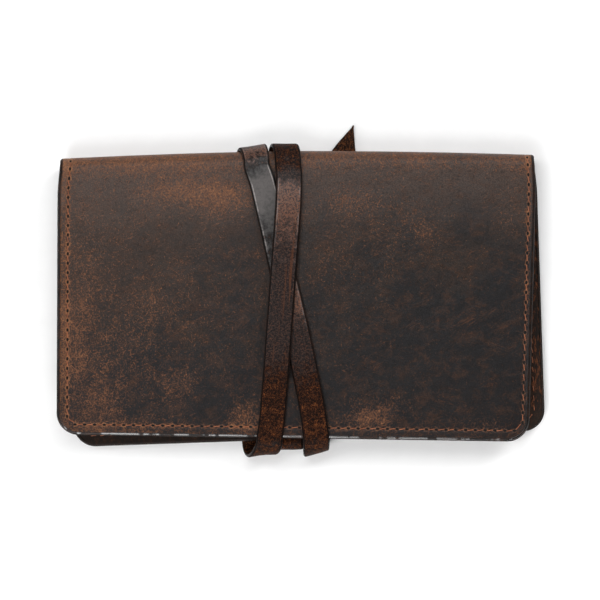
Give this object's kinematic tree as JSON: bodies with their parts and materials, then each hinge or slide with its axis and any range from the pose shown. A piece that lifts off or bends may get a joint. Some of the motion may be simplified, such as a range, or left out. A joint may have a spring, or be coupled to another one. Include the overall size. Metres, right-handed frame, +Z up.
{
  "type": "brush roll case",
  "caption": "Folded two-leaf leather case with slots for paint brushes, stitched edges and a long pointed strap wound round it.",
  "frame": {"origin": "on the surface that the shut case lies on, under the middle of its bounding box", "axes": "+Z up out of the front leaf, X along the fold, +Y towards the fold"},
  "size_m": [0.2444, 0.1679, 0.0193],
  "materials": {
    "hide": "dark brown oiled hide, worn lighter at folds and edges, satin",
    "lining": "brown lining leather, matt",
    "pocket_hide": "brown pocket leather, satin",
    "strap_hide": "red-brown strap leather, waxed and mottled, semi-gloss",
    "thread": "waxed rust-coloured thread"
  },
  "bodies": {
    "back": {"back_cover": "hide", "back_lining": "lining", "brush_pocket": "pocket_hide", "back_seam_thread": "thread", "slot_seam_thread": "thread", "strap": "strap_hide", "strap_anchor_thread": "thread"},
    "spine": {"spine_cover": "hide", "spine_lining": "lining", "spine_thread": "thread"},
    "front": {"front_cover": "hide", "front_lining": "lining", "front_seam_thread": "thread"}
  },
  "joints": [
    {"name": "back_bend", "type": "hinge", "parent": "back", "child": "spine", "pos_m": [0, 0.0664, 0.0047], "axis": [-1, 0, 0], "range_deg": [0, 90], "deforming": ["strap"]},
    {"name": "front_bend", "type": "hinge", "parent": "spine", "child": "front", "pos_m": [0, 0.0664, 0.012], "axis": [-1, 0, 0], "range_deg": [0, 90]}
  ],
  "couplings": [
    {"joint": "front_bend", "follows": "back_bend", "ratio": 1}
  ]
}
